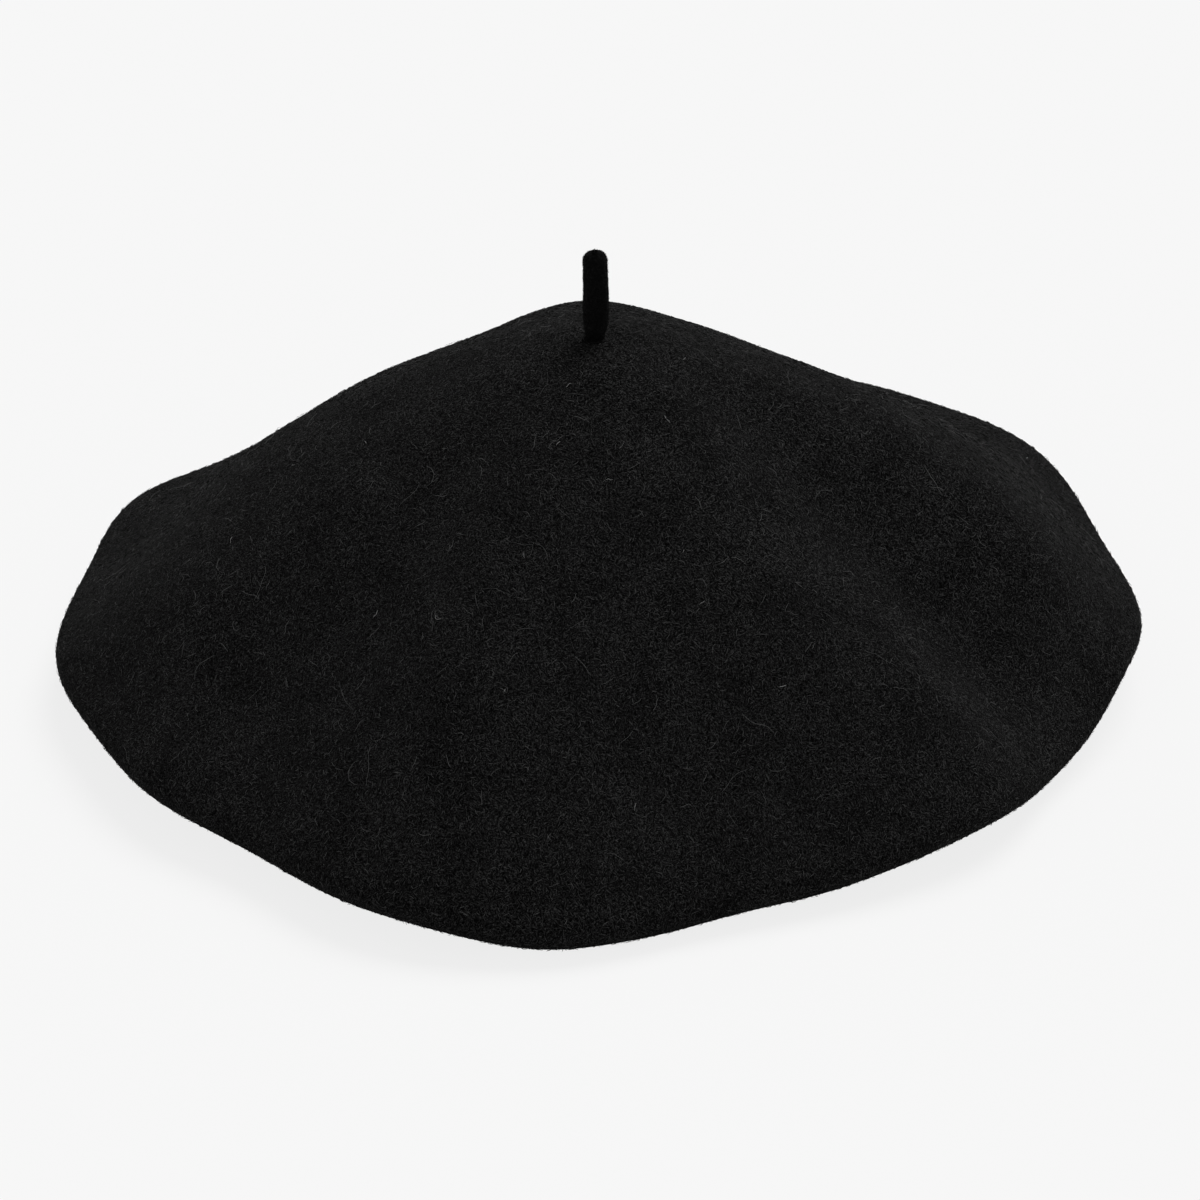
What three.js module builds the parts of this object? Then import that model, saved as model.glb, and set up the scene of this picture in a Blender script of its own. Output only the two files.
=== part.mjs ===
// A black wool beret standing on its head opening, its crown draped in soft folds.
//
// The felt body is one shell: crown, rolled rim and underside. Its lathe profile is draped, so that
// every azimuth has its own reach, rim height and folds. Inside the head opening are the leather
// sweatband, the satin lining and their trimmings; a felted stem stands on top.
//
// Millimetres, +Z up. The origin is on the table under the stem. Azimuth 0 is +X, the wearer's
// left, and it grows towards +Y, the back, where the band is joined.

import * as THREE from 'three';

// ---- Driving dimensions ----------------------------------------------------------------------

const SEGMENTS = 60; // around every ring, so that coaxial rings keep their gaps
const GAP = 0.3; // between pieces that touch on the real hat

const REACH = 117; // mean distance from the axis to the rim
const RIM_HEIGHT = 11; // mean height of the rim's widest line
const ROLL_RADIUS = 4.5; // outside radius of the rolled rim
const ROLL_START = THREE.MathUtils.degToRad(35); // the crown runs into the roll this far from its top
const CROWN_HEIGHT = 86; // top of the crown, before the dimple around the stem
const DIMPLE = { depth: 1.2, width: 7 };

const FELT = 2.5; // thickness of the felt
const STEM_HOLE = 1.6; // radius of the hole under the stem
const REST_WIDTH = 5.5; // the underside lies flat on the table this far out from the opening

const BAND = { inner: 87.5, thickness: 1.2, bottom: 0.4, top: 19 };
const BAND_OUTER = BAND.inner + BAND.thickness;
const TAPE = { thickness: 1, bottom: 0.6, top: 8.6 };
const THREAD = { radius: 0.3, height: 2.2 };
const OPENING_RADIUS = BAND_OUTER + GAP + TAPE.thickness + GAP; // cut edge of the head opening

const LINING = { depth: 6.5, thickness: 0.6, seam: 0.6, seamGap: 0.008 };
const TIP_SHARES = [0, 0.08, 0.16, 0.25, 0.36, 0.48]; // stations of the lining tip inside its seam
const SIDE_SHARES = [0.66, 0.71]; // stations of the lining side outside the seam
const PIPING_RADIUS = 0.5;
const HEM = { radius: BAND_OUTER + GAP + LINING.thickness / 2, bottom: 11.5, top: 18.6 };
const TURN_IN = [[85, 23.4], [87.4, 21.6], [88.9, 20.3]]; // the lining side as it comes over the band
const LABEL = { width: 36, length: 24, thickness: 0.5, gap: 0.6 };

const STEM = { pivot: 87.9, top: 105.7, footRadius: 2.8, tipRadius: 2.5 };
const ROOT = { radius: 1.3, knotRadius: 4, knotThickness: 1.2 };

const BOW = { loopLength: 6, loopDepth: 1.5, waist: 0.6, ribbon: 0.5, width: 5.5, y: 84.2, z: 11.5 };
const KNOT = { halfLength: 1.2, halfDepth: 1 };
const TAILS = { back: 86.5, thickness: 0.5, notch: [0, 8.8] };
const TAIL_OUTLINE = [[2.2, 12], [8.2, 5], [6.2, 5.4], [5, 3.4]]; // the +X tail's corners, as (x, z)

const CARE = { x: 86.7, thickness: 0.5, width: 16, hemBottom: 16.7, hemTop: 18.7, top: 16, bottom: 3.2 };

// The drape, a row for each corner or hollow of the rim: azimuth in degrees, the rim's reach and
// height, and how far the felt stands out as a ridge (+) or sinks as a valley (-), halfway up the
// crown and, for the brim, close above the rim.
const DRAPE = [
  { azimuth: 0, reach: 121, height: 13, crown: 8, brim: 4 },
  { azimuth: 18, reach: 121, height: 11.5, crown: 5, brim: 1.5 },
  { azimuth: 38, reach: 127, height: 14.5, crown: -3, brim: -3 },
  { azimuth: 62, reach: 121, height: 15.5, crown: -2.5, brim: -3.5 },
  { azimuth: 92, reach: 118.5, height: 13, crown: 4, brim: -1.5 },
  { azimuth: 120, reach: 116, height: 11, crown: -2, brim: -0.5 },
  { azimuth: 136, reach: 113, height: 9.5, crown: -1, brim: 1 },
  { azimuth: 149, reach: 122.5, height: 9.5, crown: -2.5, brim: -4.5 },
  { azimuth: 166, reach: 118, height: 10, crown: 3, brim: -4 },
  { azimuth: 184, reach: 119.5, height: 9.5, crown: 2, brim: 2 },
  { azimuth: 200, reach: 116, height: 10.5, crown: 1, brim: 3 },
  { azimuth: 214, reach: 115.5, height: 10.5, crown: -2, brim: -3 },
  { azimuth: 229, reach: 112, height: 9, crown: -2.5, brim: -1 },
  { azimuth: 246, reach: 118.5, height: 9.5, crown: 1, brim: 1 },
  { azimuth: 264, reach: 118.5, height: 6, crown: -2, brim: 0 },
  { azimuth: 285, reach: 108.5, height: 5.5, crown: 0.5, brim: -0.5 },
  { azimuth: 305, reach: 110, height: 8, crown: 1.5, brim: 0.5 },
  { azimuth: 320, reach: 113.5, height: 10.5, crown: -3, brim: 3 },
  { azimuth: 332, reach: 111.5, height: 6.5, crown: -3.5, brim: 0 },
  { azimuth: 342, reach: 114, height: 8.5, crown: 1, brim: 6 },
  { azimuth: 351, reach: 118, height: 13.5, crown: 5, brim: 9 },
];

// A fold is a wave that starts and ends at zero. The higher its power, the nearer it is to the rim.
const CROWN_WAVE = 1.5;
const BRIM_WAVE = 4;
const UNDER_CURVE = 1.5; // above 1 the underside flattens as it nears the head opening

// The crown's mean profile: share of the way out from the stem, and share of the height left.
const CROWN_PROFILE = [
  [0, 1], [0.12, 0.96], [0.29, 0.84], [0.48, 0.66], [0.67, 0.45], [0.84, 0.22], [0.94, 0.085], [1, 0],
];

// ---- Smooth curves through the tables ----------------------------------------------------------

// Cubic Hermite through (x, y) points; each inner slope is that of the chord between its neighbours.
function hermite(points, slopes, x) {
  let i = 0;
  while (i < points.length - 2 && x > points[i + 1][0]) i += 1;
  const [x0, y0] = points[i];
  const [x1, y1] = points[i + 1];
  const span = x1 - x0;
  const s = (x - x0) / span;
  const rise = 3 * s * s - 2 * s * s * s;
  const leave = s * (1 - s) * (1 - s) * span;
  const arrive = s * s * (s - 1) * span;
  return y0 + (y1 - y0) * rise + slopes[i] * leave + slopes[i + 1] * arrive;
}

function chordSlopes(points) {
  return points.map((_, i) => {
    const before = points[Math.max(i - 1, 0)];
    const after = points[Math.min(i + 1, points.length - 1)];
    return (after[1] - before[1]) / (after[0] - before[0]);
  });
}

// A column of DRAPE as a smooth closed function of azimuth: the table is wrapped at both ends.
function aroundTheRim(column) {
  const rows = DRAPE.map((row) => [row.azimuth, row[column]]);
  const shifted = (row, turn) => [row[0] + turn, row[1]];
  const wrapped = [
    ...rows.slice(-2).map((row) => shifted(row, -360)),
    ...rows,
    ...rows.slice(0, 2).map((row) => shifted(row, 360)),
  ];
  const slopes = chordSlopes(wrapped);
  return (azimuth) => hermite(wrapped, slopes, ((azimuth % 360) + 360) % 360);
}

const rimReach = aroundTheRim('reach');
const rimHeight = aroundTheRim('height');
const crownFold = aroundTheRim('crown');
const brimFold = aroundTheRim('brim');

const PROFILE_SLOPES = chordSlopes(CROWN_PROFILE);
PROFILE_SLOPES[0] = 0;

const heightShare = (share) => hermite(CROWN_PROFILE, PROFILE_SLOPES, share);

// ---- The draped skin ---------------------------------------------------------------------------

// Where the mean crown meets the roll.
const CROWN_REACH = REACH - ROLL_RADIUS * (1 - Math.sin(ROLL_START));
const ROLL_TOP = RIM_HEIGHT + ROLL_RADIUS * Math.cos(ROLL_START);

// A point of the crown's outer skin, as (radius, height), at a share of the way from stem to rim.
function crownSkin(share, azimuth) {
  const spread = share * share;
  const crownWave = Math.sin(Math.PI * share ** CROWN_WAVE) ** 2;
  const brimWave = Math.sin(Math.PI * share ** BRIM_WAVE) ** 2;
  return new THREE.Vector2(
    CROWN_REACH * share + (rimReach(azimuth) - REACH) * spread,
    ROLL_TOP + (CROWN_HEIGHT - ROLL_TOP) * heightShare(share)
      + (rimHeight(azimuth) - RIM_HEIGHT) * spread
      + crownFold(azimuth) * crownWave + brimFold(azimuth) * brimWave,
  );
}

// The same point sunk by depth along the skin's normal, for the lining that follows the crown.
function underCrown(share, azimuth, depth) {
  const step = 0.01;
  const here = crownSkin(share, azimuth);
  const along = crownSkin(share + step, azimuth).sub(crownSkin(Math.max(share - step, 0), azimuth));
  if (share === 0) along.set(1, 0);
  along.normalize();
  return new THREE.Vector2(here.x + along.y * depth, here.y - along.x * depth);
}

// The felt's outer skin at one azimuth, from the stem's hole over the rim to the head opening.
function feltSkin(azimuth) {
  const points = [];
  const crownSteps = 16;
  const first = STEM_HOLE / CROWN_REACH;
  for (let i = 0; i <= crownSteps; i += 1) {
    const point = crownSkin(first + (1 - first) * (i / crownSteps), azimuth);
    point.y -= DIMPLE.depth * Math.exp(-((point.x / DIMPLE.width) ** 2));
    points.push(point);
  }
  const rollSteps = 5;
  const centre = new THREE.Vector2(rimReach(azimuth) - ROLL_RADIUS, rimHeight(azimuth));
  for (let i = 1; i <= rollSteps; i += 1) {
    const turn = THREE.MathUtils.lerp(ROLL_START, Math.PI, i / rollSteps);
    points.push(new THREE.Vector2(
      centre.x + ROLL_RADIUS * Math.sin(turn),
      centre.y + ROLL_RADIUS * Math.cos(turn),
    ));
  }
  const bottom = points[points.length - 1];
  const underSteps = 3;
  for (let i = 1; i <= underSteps; i += 1) {
    const s = i / underSteps;
    points.push(new THREE.Vector2(
      THREE.MathUtils.lerp(bottom.x, OPENING_RADIUS + REST_WIDTH, s),
      bottom.y * (1 - s) ** UNDER_CURVE,
    ));
  }
  points.push(new THREE.Vector2(OPENING_RADIUS, 0));
  return points;
}

// A line of points moved by a distance to its right-hand side, seen along its direction.
function offsetLine(points, distance) {
  return points.map((point, i) => {
    const before = points[Math.max(i - 1, 0)];
    const after = points[Math.min(i + 1, points.length - 1)];
    const along = after.clone().sub(before).normalize();
    return new THREE.Vector2(point.x + along.y * distance, point.y - along.x * distance);
  });
}

// ---- Solids of revolution, draped or plain -----------------------------------------------------

// A lathe whose closed profile may change with azimuth. profileAt returns (radius, height) points.
function drapedLathe(profileAt) {
  const columns = profileAt(0).length;
  const geometry = new THREE.LatheGeometry(profileAt(0), SEGMENTS);
  const position = geometry.attributes.position;
  for (let i = 0; i <= SEGMENTS; i += 1) {
    const azimuth = (i % SEGMENTS) * (360 / SEGMENTS);
    const angle = THREE.MathUtils.degToRad(azimuth);
    profileAt(azimuth).forEach((point, j) => {
      position.setXYZ(i * columns + j, point.x * Math.cos(angle), point.x * Math.sin(angle), point.y);
    });
  }
  geometry.computeVertexNormals();
  return geometry;
}

// A sheet of cloth or felt: the profile runs down one face and back up the other.
function sheetLoop(upper, lower, onAxis = false) {
  const loop = [...lower, ...upper.slice().reverse()];
  return onAxis ? loop : [...loop, lower[0]];
}

function plainLathe(profile) {
  return drapedLathe(() => profile.map(([radius, height]) => new THREE.Vector2(radius, height)));
}

function band(inner, outer, bottom, top) {
  return plainLathe([[inner, bottom], [outer, bottom], [outer, top], [inner, top], [inner, bottom]]);
}

// A cord laid round the hat: centreAt gives the cord's centre at each azimuth.
function ringCord(centreAt, radius) {
  const sides = 6;
  return drapedLathe((azimuth) => {
    const centre = centreAt(azimuth);
    return Array.from({ length: sides + 1 }, (_, i) => {
      const turn = (2 * Math.PI * (i % sides)) / sides;
      return new THREE.Vector2(centre.x + radius * Math.cos(turn), centre.y + radius * Math.sin(turn));
    });
  });
}

// ---- Materials ---------------------------------------------------------------------------------

const wool = new THREE.MeshStandardMaterial({ color: 0x1a1a1b, roughness: 0.95, metalness: 0 });
const leather = new THREE.MeshStandardMaterial({ color: 0x1c1714, roughness: 0.55, metalness: 0 });
const satin = new THREE.MeshStandardMaterial({ color: 0x17171a, roughness: 0.35, metalness: 0 });
const cotton = new THREE.MeshStandardMaterial({ color: 0x1d1d1f, roughness: 0.85, metalness: 0 });
const thread = new THREE.MeshStandardMaterial({ color: 0x262628, roughness: 0.6, metalness: 0 });
const labelCloth = new THREE.MeshStandardMaterial({ color: 0xc9c4b8, roughness: 0.6, metalness: 0 });

function piece(name, geometry, material) {
  const mesh = new THREE.Mesh(geometry, material);
  mesh.name = name;
  return mesh;
}

// ---- Felt --------------------------------------------------------------------------------------

function feltBody() {
  const geometry = drapedLathe((azimuth) => {
    const outer = feltSkin(azimuth);
    const inner = offsetLine(outer, FELT);
    inner[0].set(STEM_HOLE, outer[0].y - FELT);
    return sheetLoop(outer, inner);
  });
  return piece('felt_body', geometry, wool);
}

// The stem turns about the middle of its round foot, so it clears the felt as it leans.
function stem() {
  const arcSteps = 5;
  const points = [];
  for (let i = 0; i <= arcSteps; i += 1) {
    const turn = (Math.PI / 2) * (i / arcSteps);
    points.push([STEM.footRadius * Math.sin(turn), -STEM.footRadius * Math.cos(turn)]);
  }
  const tip = STEM.top - STEM.pivot - STEM.tipRadius;
  points.push([(STEM.footRadius + STEM.tipRadius) / 2, tip / 2]);
  for (let i = 0; i <= arcSteps; i += 1) {
    const turn = (Math.PI / 2) * (i / arcSteps);
    points.push([STEM.tipRadius * Math.cos(turn), tip + STEM.tipRadius * Math.sin(turn)]);
  }
  points[0][0] = 0;
  points[points.length - 1][0] = 0;
  const profile = points.map(([radius, height]) => new THREE.Vector2(radius, height));
  const stemSides = 20;
  const geometry = new THREE.LatheGeometry(profile, stemSides).rotateX(Math.PI / 2);
  const mesh = piece('stem', geometry, wool);
  mesh.position.z = STEM.pivot;
  return mesh;
}

// The stem's yarn goes down through the crown and is knotted under the felt.
function stemRoot() {
  const top = CROWN_HEIGHT - DIMPLE.depth;
  const knotTop = top - FELT - GAP;
  const knotBottom = knotTop - ROOT.knotThickness;
  const profile = [
    [0, knotBottom], [ROOT.knotRadius, knotBottom], [ROOT.knotRadius, knotTop],
    [ROOT.radius, knotTop], [ROOT.radius, top], [0, top],
  ].map(([radius, height]) => new THREE.Vector2(radius, height));
  const rootSides = 16;
  return piece('stem_root', new THREE.LatheGeometry(profile, rootSides).rotateX(Math.PI / 2), wool);
}

// ---- Head opening ------------------------------------------------------------------------------

function openingPieces() {
  const seamRadius = BAND.inner - GAP - THREAD.radius;
  const seam = new THREE.Vector2(seamRadius, THREAD.height);
  const tapeInner = BAND_OUTER + GAP;
  return [
    piece('sweatband', band(BAND.inner, BAND_OUTER, BAND.bottom, BAND.top), leather),
    piece('stay_tape', band(tapeInner, tapeInner + TAPE.thickness, TAPE.bottom, TAPE.top), cotton),
    piece('sweatband_stitching', ringCord(() => seam, THREAD.radius), thread),
  ];
}

// ---- Lining ------------------------------------------------------------------------------------

function liningTip() {
  const shares = [...TIP_SHARES, LINING.seam - LINING.seamGap];
  const geometry = drapedLathe((azimuth) => {
    const face = (depth) => shares.map((share) => underCrown(share, azimuth, depth));
    return sheetLoop(face(LINING.depth), face(LINING.depth + LINING.thickness), true);
  });
  return piece('lining_tip', geometry, satin);
}

// The side follows the crown, turns in over the sweatband and ends in a hem behind it.
function liningSide() {
  const shares = [LINING.seam + LINING.seamGap, ...SIDE_SHARES];
  const turnIn = [...TURN_IN, [HEM.radius, HEM.top], [HEM.radius, HEM.bottom]];
  const middle = LINING.depth + LINING.thickness / 2;
  const geometry = drapedLathe((azimuth) => {
    const line = [
      ...shares.map((share) => underCrown(share, azimuth, middle)),
      ...turnIn.map(([radius, height]) => new THREE.Vector2(radius, height)),
    ];
    return sheetLoop(
      offsetLine(line, -LINING.thickness / 2),
      offsetLine(line, LINING.thickness / 2),
    );
  });
  return piece('lining_side', geometry, satin);
}

function liningPiping() {
  const depth = LINING.depth + LINING.thickness + GAP + PIPING_RADIUS;
  const geometry = ringCord((azimuth) => underCrown(LINING.seam, azimuth, depth), PIPING_RADIUS);
  return piece('lining_piping', geometry, satin);
}

// A blank woven patch under the middle of the lining, bent to the crown's curve.
function liningLabel() {
  const across = 8;
  const along = 6;
  const geometry = new THREE.BoxGeometry(LABEL.width, LABEL.length, LABEL.thickness, across, along, 1);
  const position = geometry.attributes.position;
  const top = LINING.depth + LINING.thickness + LABEL.gap;
  for (let i = 0; i < position.count; i += 1) {
    const x = position.getX(i);
    const y = position.getY(i);
    const angle = Math.atan2(y, x);
    const share = Math.hypot(x, y) / CROWN_REACH;
    const depth = top + LABEL.thickness / 2 - position.getZ(i);
    const point = underCrown(share, THREE.MathUtils.radToDeg(angle), depth);
    position.setXYZ(i, point.x * Math.cos(angle), point.x * Math.sin(angle), point.y);
  }
  geometry.computeVertexNormals();
  return piece('lining_label', geometry, labelCloth);
}

// ---- Bow at the back join of the band ----------------------------------------------------------

function bowLoops() {
  const centre = BOW.loopLength + BOW.waist;
  const meet = Math.asin(BOW.waist / BOW.loopDepth);
  const shape = new THREE.Shape();
  shape.absellipse(centre, 0, BOW.loopLength, BOW.loopDepth, meet - Math.PI, Math.PI - meet, false);
  shape.absellipse(-centre, 0, BOW.loopLength, BOW.loopDepth, meet, 2 * Math.PI - meet, false);
  for (const side of [1, -1]) {
    const hole = new THREE.Path();
    const length = BOW.loopLength - BOW.ribbon;
    const depth = BOW.loopDepth - BOW.ribbon;
    hole.absellipse(side * centre, 0, length, depth, 0, 2 * Math.PI, false);
    shape.holes.push(hole);
  }
  const options = { depth: BOW.width, bevelEnabled: false, curveSegments: 10 };
  const mesh = piece('bow_loops', new THREE.ExtrudeGeometry(shape, options), satin);
  mesh.position.set(0, BOW.y, BOW.z - BOW.width / 2);
  return mesh;
}

// A short ribbon wrapped round the waist of the loops.
function bowKnot() {
  const rectangle = (Kind, halfY, halfZ) => new Kind([
    new THREE.Vector2(-halfY, -halfZ), new THREE.Vector2(halfY, -halfZ),
    new THREE.Vector2(halfY, halfZ), new THREE.Vector2(-halfY, halfZ),
  ]);
  const halfHeight = BOW.width / 2 + GAP;
  const shape = rectangle(THREE.Shape, KNOT.halfDepth + BOW.ribbon, halfHeight + BOW.ribbon);
  shape.holes.push(rectangle(THREE.Path, KNOT.halfDepth, halfHeight));
  const geometry = new THREE.ExtrudeGeometry(shape, { depth: 2 * KNOT.halfLength, bevelEnabled: false });
  const [x, y, z] = [new THREE.Vector3(1, 0, 0), new THREE.Vector3(0, 1, 0), new THREE.Vector3(0, 0, 1)];
  geometry.applyMatrix4(new THREE.Matrix4().makeBasis(y, z, x));
  const mesh = piece('bow_knot', geometry, satin);
  mesh.position.set(-KNOT.halfLength, BOW.y, BOW.z);
  return mesh;
}

function bowTails() {
  const mirrored = TAIL_OUTLINE.map(([x, z]) => [-x, z]).reverse();
  const corners = [...TAIL_OUTLINE, TAILS.notch, ...mirrored];
  const outline = corners.map(([x, z]) => new THREE.Vector2(x, z));
  const options = { depth: TAILS.thickness, bevelEnabled: false };
  const geometry = new THREE.ExtrudeGeometry(new THREE.Shape(outline), options);
  geometry.rotateX(Math.PI / 2);
  const mesh = piece('bow_tails', geometry, satin);
  mesh.position.y = TAILS.back;
  return mesh;
}

// ---- Care label at the -X side of the band ---------------------------------------------------

// A blank satin tab: its hem is sewn to the band, and the tab hangs from the fold below it.
function careLabel() {
  const strip = (name, bottom, top) => {
    const geometry = new THREE.BoxGeometry(CARE.thickness, CARE.width, top - bottom);
    const mesh = piece(name, geometry, labelCloth);
    mesh.position.set(-CARE.x + CARE.thickness / 2, 0, (bottom + top) / 2);
    return mesh;
  };
  return [
    strip('care_label_hem', CARE.hemBottom, CARE.hemTop),
    strip('care_label', CARE.bottom, CARE.top),
  ];
}

// ---- The hat -----------------------------------------------------------------------------------

const beret = new THREE.Group();
beret.name = 'beret';
beret.add(feltBody(), stem(), stemRoot());
beret.add(...openingPieces());
beret.add(liningTip(), liningSide(), liningPiping(), liningLabel());
beret.add(bowLoops(), bowKnot(), bowTails());
beret.add(...careLabel());

export default beret;
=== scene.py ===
"""A black wool beret on a pale floor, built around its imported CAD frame.

Sizes below are in millimetres and azimuths in degrees, 0 at +X and growing towards +Y, the back.
Meshes are made in millimetres and scaled to metres as they become objects.
"""

import math

import bpy
import numpy as np
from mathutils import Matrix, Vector


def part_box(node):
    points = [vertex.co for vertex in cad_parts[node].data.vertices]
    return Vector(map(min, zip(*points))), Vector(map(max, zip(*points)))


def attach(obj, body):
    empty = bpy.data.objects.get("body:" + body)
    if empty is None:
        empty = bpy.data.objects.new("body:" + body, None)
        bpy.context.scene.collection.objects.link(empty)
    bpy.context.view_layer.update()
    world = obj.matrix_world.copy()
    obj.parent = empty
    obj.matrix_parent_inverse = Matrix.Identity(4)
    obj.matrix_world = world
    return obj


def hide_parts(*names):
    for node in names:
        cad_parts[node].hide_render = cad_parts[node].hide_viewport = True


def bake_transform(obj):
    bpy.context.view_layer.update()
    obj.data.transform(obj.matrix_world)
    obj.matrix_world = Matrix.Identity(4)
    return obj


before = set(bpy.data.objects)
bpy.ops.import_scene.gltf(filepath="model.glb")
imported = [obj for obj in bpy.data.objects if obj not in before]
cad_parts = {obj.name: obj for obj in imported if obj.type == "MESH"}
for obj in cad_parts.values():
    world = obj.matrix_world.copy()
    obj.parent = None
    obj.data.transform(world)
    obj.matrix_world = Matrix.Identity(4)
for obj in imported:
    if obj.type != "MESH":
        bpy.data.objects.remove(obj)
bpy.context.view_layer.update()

MM = 0.001


def node_box(node):
    """A CAD node's lowest and highest corners in millimetres."""
    low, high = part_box(node)
    return np.array(low) / MM, np.array(high) / MM


# ---- Sizes ----

REACH = 117.0  # mean distance from the axis to the rim
RIM_HEIGHT = 11.0
ROLL_RADIUS = 4.5
ROLL_START = math.radians(35)  # the crown runs into the roll this far from its top
CROWN_HEIGHT = 86.0
DIMPLE_DEPTH = 1.2  # the stem draws the crown down by this much
DIMPLE_WIDTH = 7.0
FELT = 2.5
STEM_HOLE = 1.6
STEM_FOOT = CROWN_HEIGHT - DIMPLE_DEPTH
REST_WIDTH = 5.5  # the flat ring of felt that the hat stands on
UNDER_CURVE = 1.5  # above 1 the underside flattens as it nears the head opening

BAND_LOW, BAND_HIGH = node_box("sweatband")
TAPE_LOW, TAPE_HIGH = node_box("stay_tape")
STEM_TOP = node_box("stem")[1][2]
BAND_INNER = BAND_HIGH[0] - 1.2
OPENING_RADIUS = TAPE_HIGH[0] + 0.3

# The drape: azimuth, the rim's reach and height, then the ridge (+) or valley (-) halfway up the
# crown and the one close above the rim.
DRAPE = np.array([
    (0, 121, 13, 8, 4),
    (18, 121, 11.5, 5, 1.5),
    (38, 127, 14.5, -3, -3),
    (62, 121, 15.5, -2.5, -3.5),
    (92, 118.5, 13, 4, -1.5),
    (120, 116, 11, -2, -0.5),
    (136, 113, 9.5, -1, 1),
    (149, 122.5, 9.5, -2.5, -4.5),
    (166, 118, 10, 3, -4),
    (184, 119.5, 9.5, 2, 2),
    (200, 116, 10.5, 1, 3),
    (214, 115.5, 10.5, -2, -3),
    (229, 112, 9, -2.5, -1),
    (246, 118.5, 9.5, 1, 1),
    (264, 118.5, 6, -2, 0),
    (285, 108.5, 5.5, 0.5, -0.5),
    (305, 110, 8, 1.5, 0.5),
    (320, 113.5, 10.5, -3, 3),
    (332, 111.5, 6.5, -3.5, 0),
    (342, 114, 8.5, 1, 6),
    (351, 118, 13.5, 5, 9),
])
# A fold is a wave that starts and ends at zero. The higher its power, the nearer it is to the rim.
CROWN_WAVE = 1.5
BRIM_WAVE = 4
SOFTEN = 3.0  # the drape is averaged over this many degrees to either side

# The crown's mean profile: share of the way out from the stem, and share of the height left.
CROWN_PROFILE = np.array([
    (0, 1), (0.12, 0.96), (0.29, 0.84), (0.48, 0.66), (0.67, 0.45), (0.84, 0.22), (0.94, 0.085), (1, 0),
])
CROWN_REACH = REACH - ROLL_RADIUS * (1 - math.sin(ROLL_START))
ROLL_TOP = RIM_HEIGHT + ROLL_RADIUS * math.cos(ROLL_START)

AROUND = 420  # felt vertices around the hat
INNER_ROWS = 46  # rows of the felt's hidden inner skin
NAP_PER_TONE = 12400
NAP_ROWS = slice(2, 136)  # the outer skin's rows that carry nap, from the stem to under the rim
STEM_ENDS = 4200

JOIN = 90.0  # azimuth of the band's join, at the back
BACK_ROUND = JOIN + np.linspace(0.15, 359.85, 361)
BAND_STITCHES = 182

LABEL_SIZE = (36, 24)
LABEL_DROP = 1.3  # the label lies this far below the lining's own surface
LABEL_HOLD = 0.20  # the share of the way out to which the label's seam holds the tip
HANG_EASE = 0.22  # the share beyond it over which the tip comes free
HANG_FRAMES = 30
HANG_SLACK = 0.003
HANG_LIMIT = 3.2  # no point of the tip hangs further than this, in millimetres
LINING_AROUND = 540
LINING_DEPTH = 6.5
LINING_CLOTH = 0.6
SEAM = 0.6  # the seam's share of the way out
SEAM_GAP = 0.008
SIDE_END = 0.71  # the share at which the side leaves the crown and turns in over the band
# From there: radius, height, and how the cloth's thickness lies in (radius, height).
TURN_IN = np.array([
    (85, 23.4, 0.6, -0.8), (86.4, 22.4, 0.6, -0.8), (87.4, 21.6, 0.7, -0.7), (88.3, 20.8, 0.8, -0.6),
    (88.9, 20.3, 0.9, -0.4), (89.25, 19.4, 0.9, -0.1), (89.3, 18.6, 0.5, 0), (89.3, 15, 0.5, 0),
    (89.3, 11.5, 0.5, 0),
])
PIPING_RADIUS = 0.5


# ---- Curves through the tables ----

def chord_slopes(x, y):
    before = np.clip(np.arange(len(x)) - 1, 0, None)
    after = np.clip(np.arange(len(x)) + 1, None, len(x) - 1)
    return (y[after] - y[before]) / (x[after] - x[before])


def hermite(x, y, slopes, at):
    """Cubic Hermite curve through the points (x, y), read at every value of at."""
    i = np.clip(np.searchsorted(x, at) - 1, 0, len(x) - 2)
    span = x[i + 1] - x[i]
    s = (at - x[i]) / span
    rise = 3 * s**2 - 2 * s**3
    leave = s * (1 - s) ** 2 * span
    arrive = s**2 * (s - 1) * span
    return y[i] + (y[i + 1] - y[i]) * rise + slopes[i] * leave + slopes[i + 1] * arrive


def around_the_rim(column, azimuth):
    """A column of DRAPE read at any azimuth, as a smooth closed curve."""
    x = np.concatenate([DRAPE[-2:, 0] - 360, DRAPE[:, 0], DRAPE[:2, 0] + 360])
    y = np.concatenate([DRAPE[-2:, column], DRAPE[:, column], DRAPE[:2, column]])
    return sum(
        hermite(x, y, chord_slopes(x, y), (azimuth + shift) % 360) * weight
        for shift, weight in ((-SOFTEN, 0.25), (0, 0.5), (SOFTEN, 0.25))
    )


def crown_skin(share, azimuth):
    """Radius and height of the crown's outer skin, at a share of the way from stem to rim."""
    slopes = chord_slopes(*CROWN_PROFILE.T)
    slopes[0] = 0
    left = hermite(*CROWN_PROFILE.T, slopes, share)
    spread = share**2
    radius = CROWN_REACH * share + (around_the_rim(1, azimuth) - REACH) * spread
    height = ROLL_TOP + (CROWN_HEIGHT - ROLL_TOP) * left
    height = height + (around_the_rim(2, azimuth) - RIM_HEIGHT) * spread
    height = height + around_the_rim(3, azimuth) * np.sin(np.pi * share**CROWN_WAVE) ** 2
    return radius, height + around_the_rim(4, azimuth) * np.sin(np.pi * share**BRIM_WAVE) ** 2


def dimpled_skin(share, azimuth):
    """The same with the dimple round the stem."""
    radius, height = crown_skin(share, azimuth)
    return radius, height - DIMPLE_DEPTH * np.exp(-((radius / DIMPLE_WIDTH) ** 2))


def sunk(radius, height, run, rise, depth):
    """Points moved inside the hat by depth, square to the line that they lie on."""
    length = np.hypot(run, rise)
    return radius + rise / length * depth, height - run / length * depth


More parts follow.
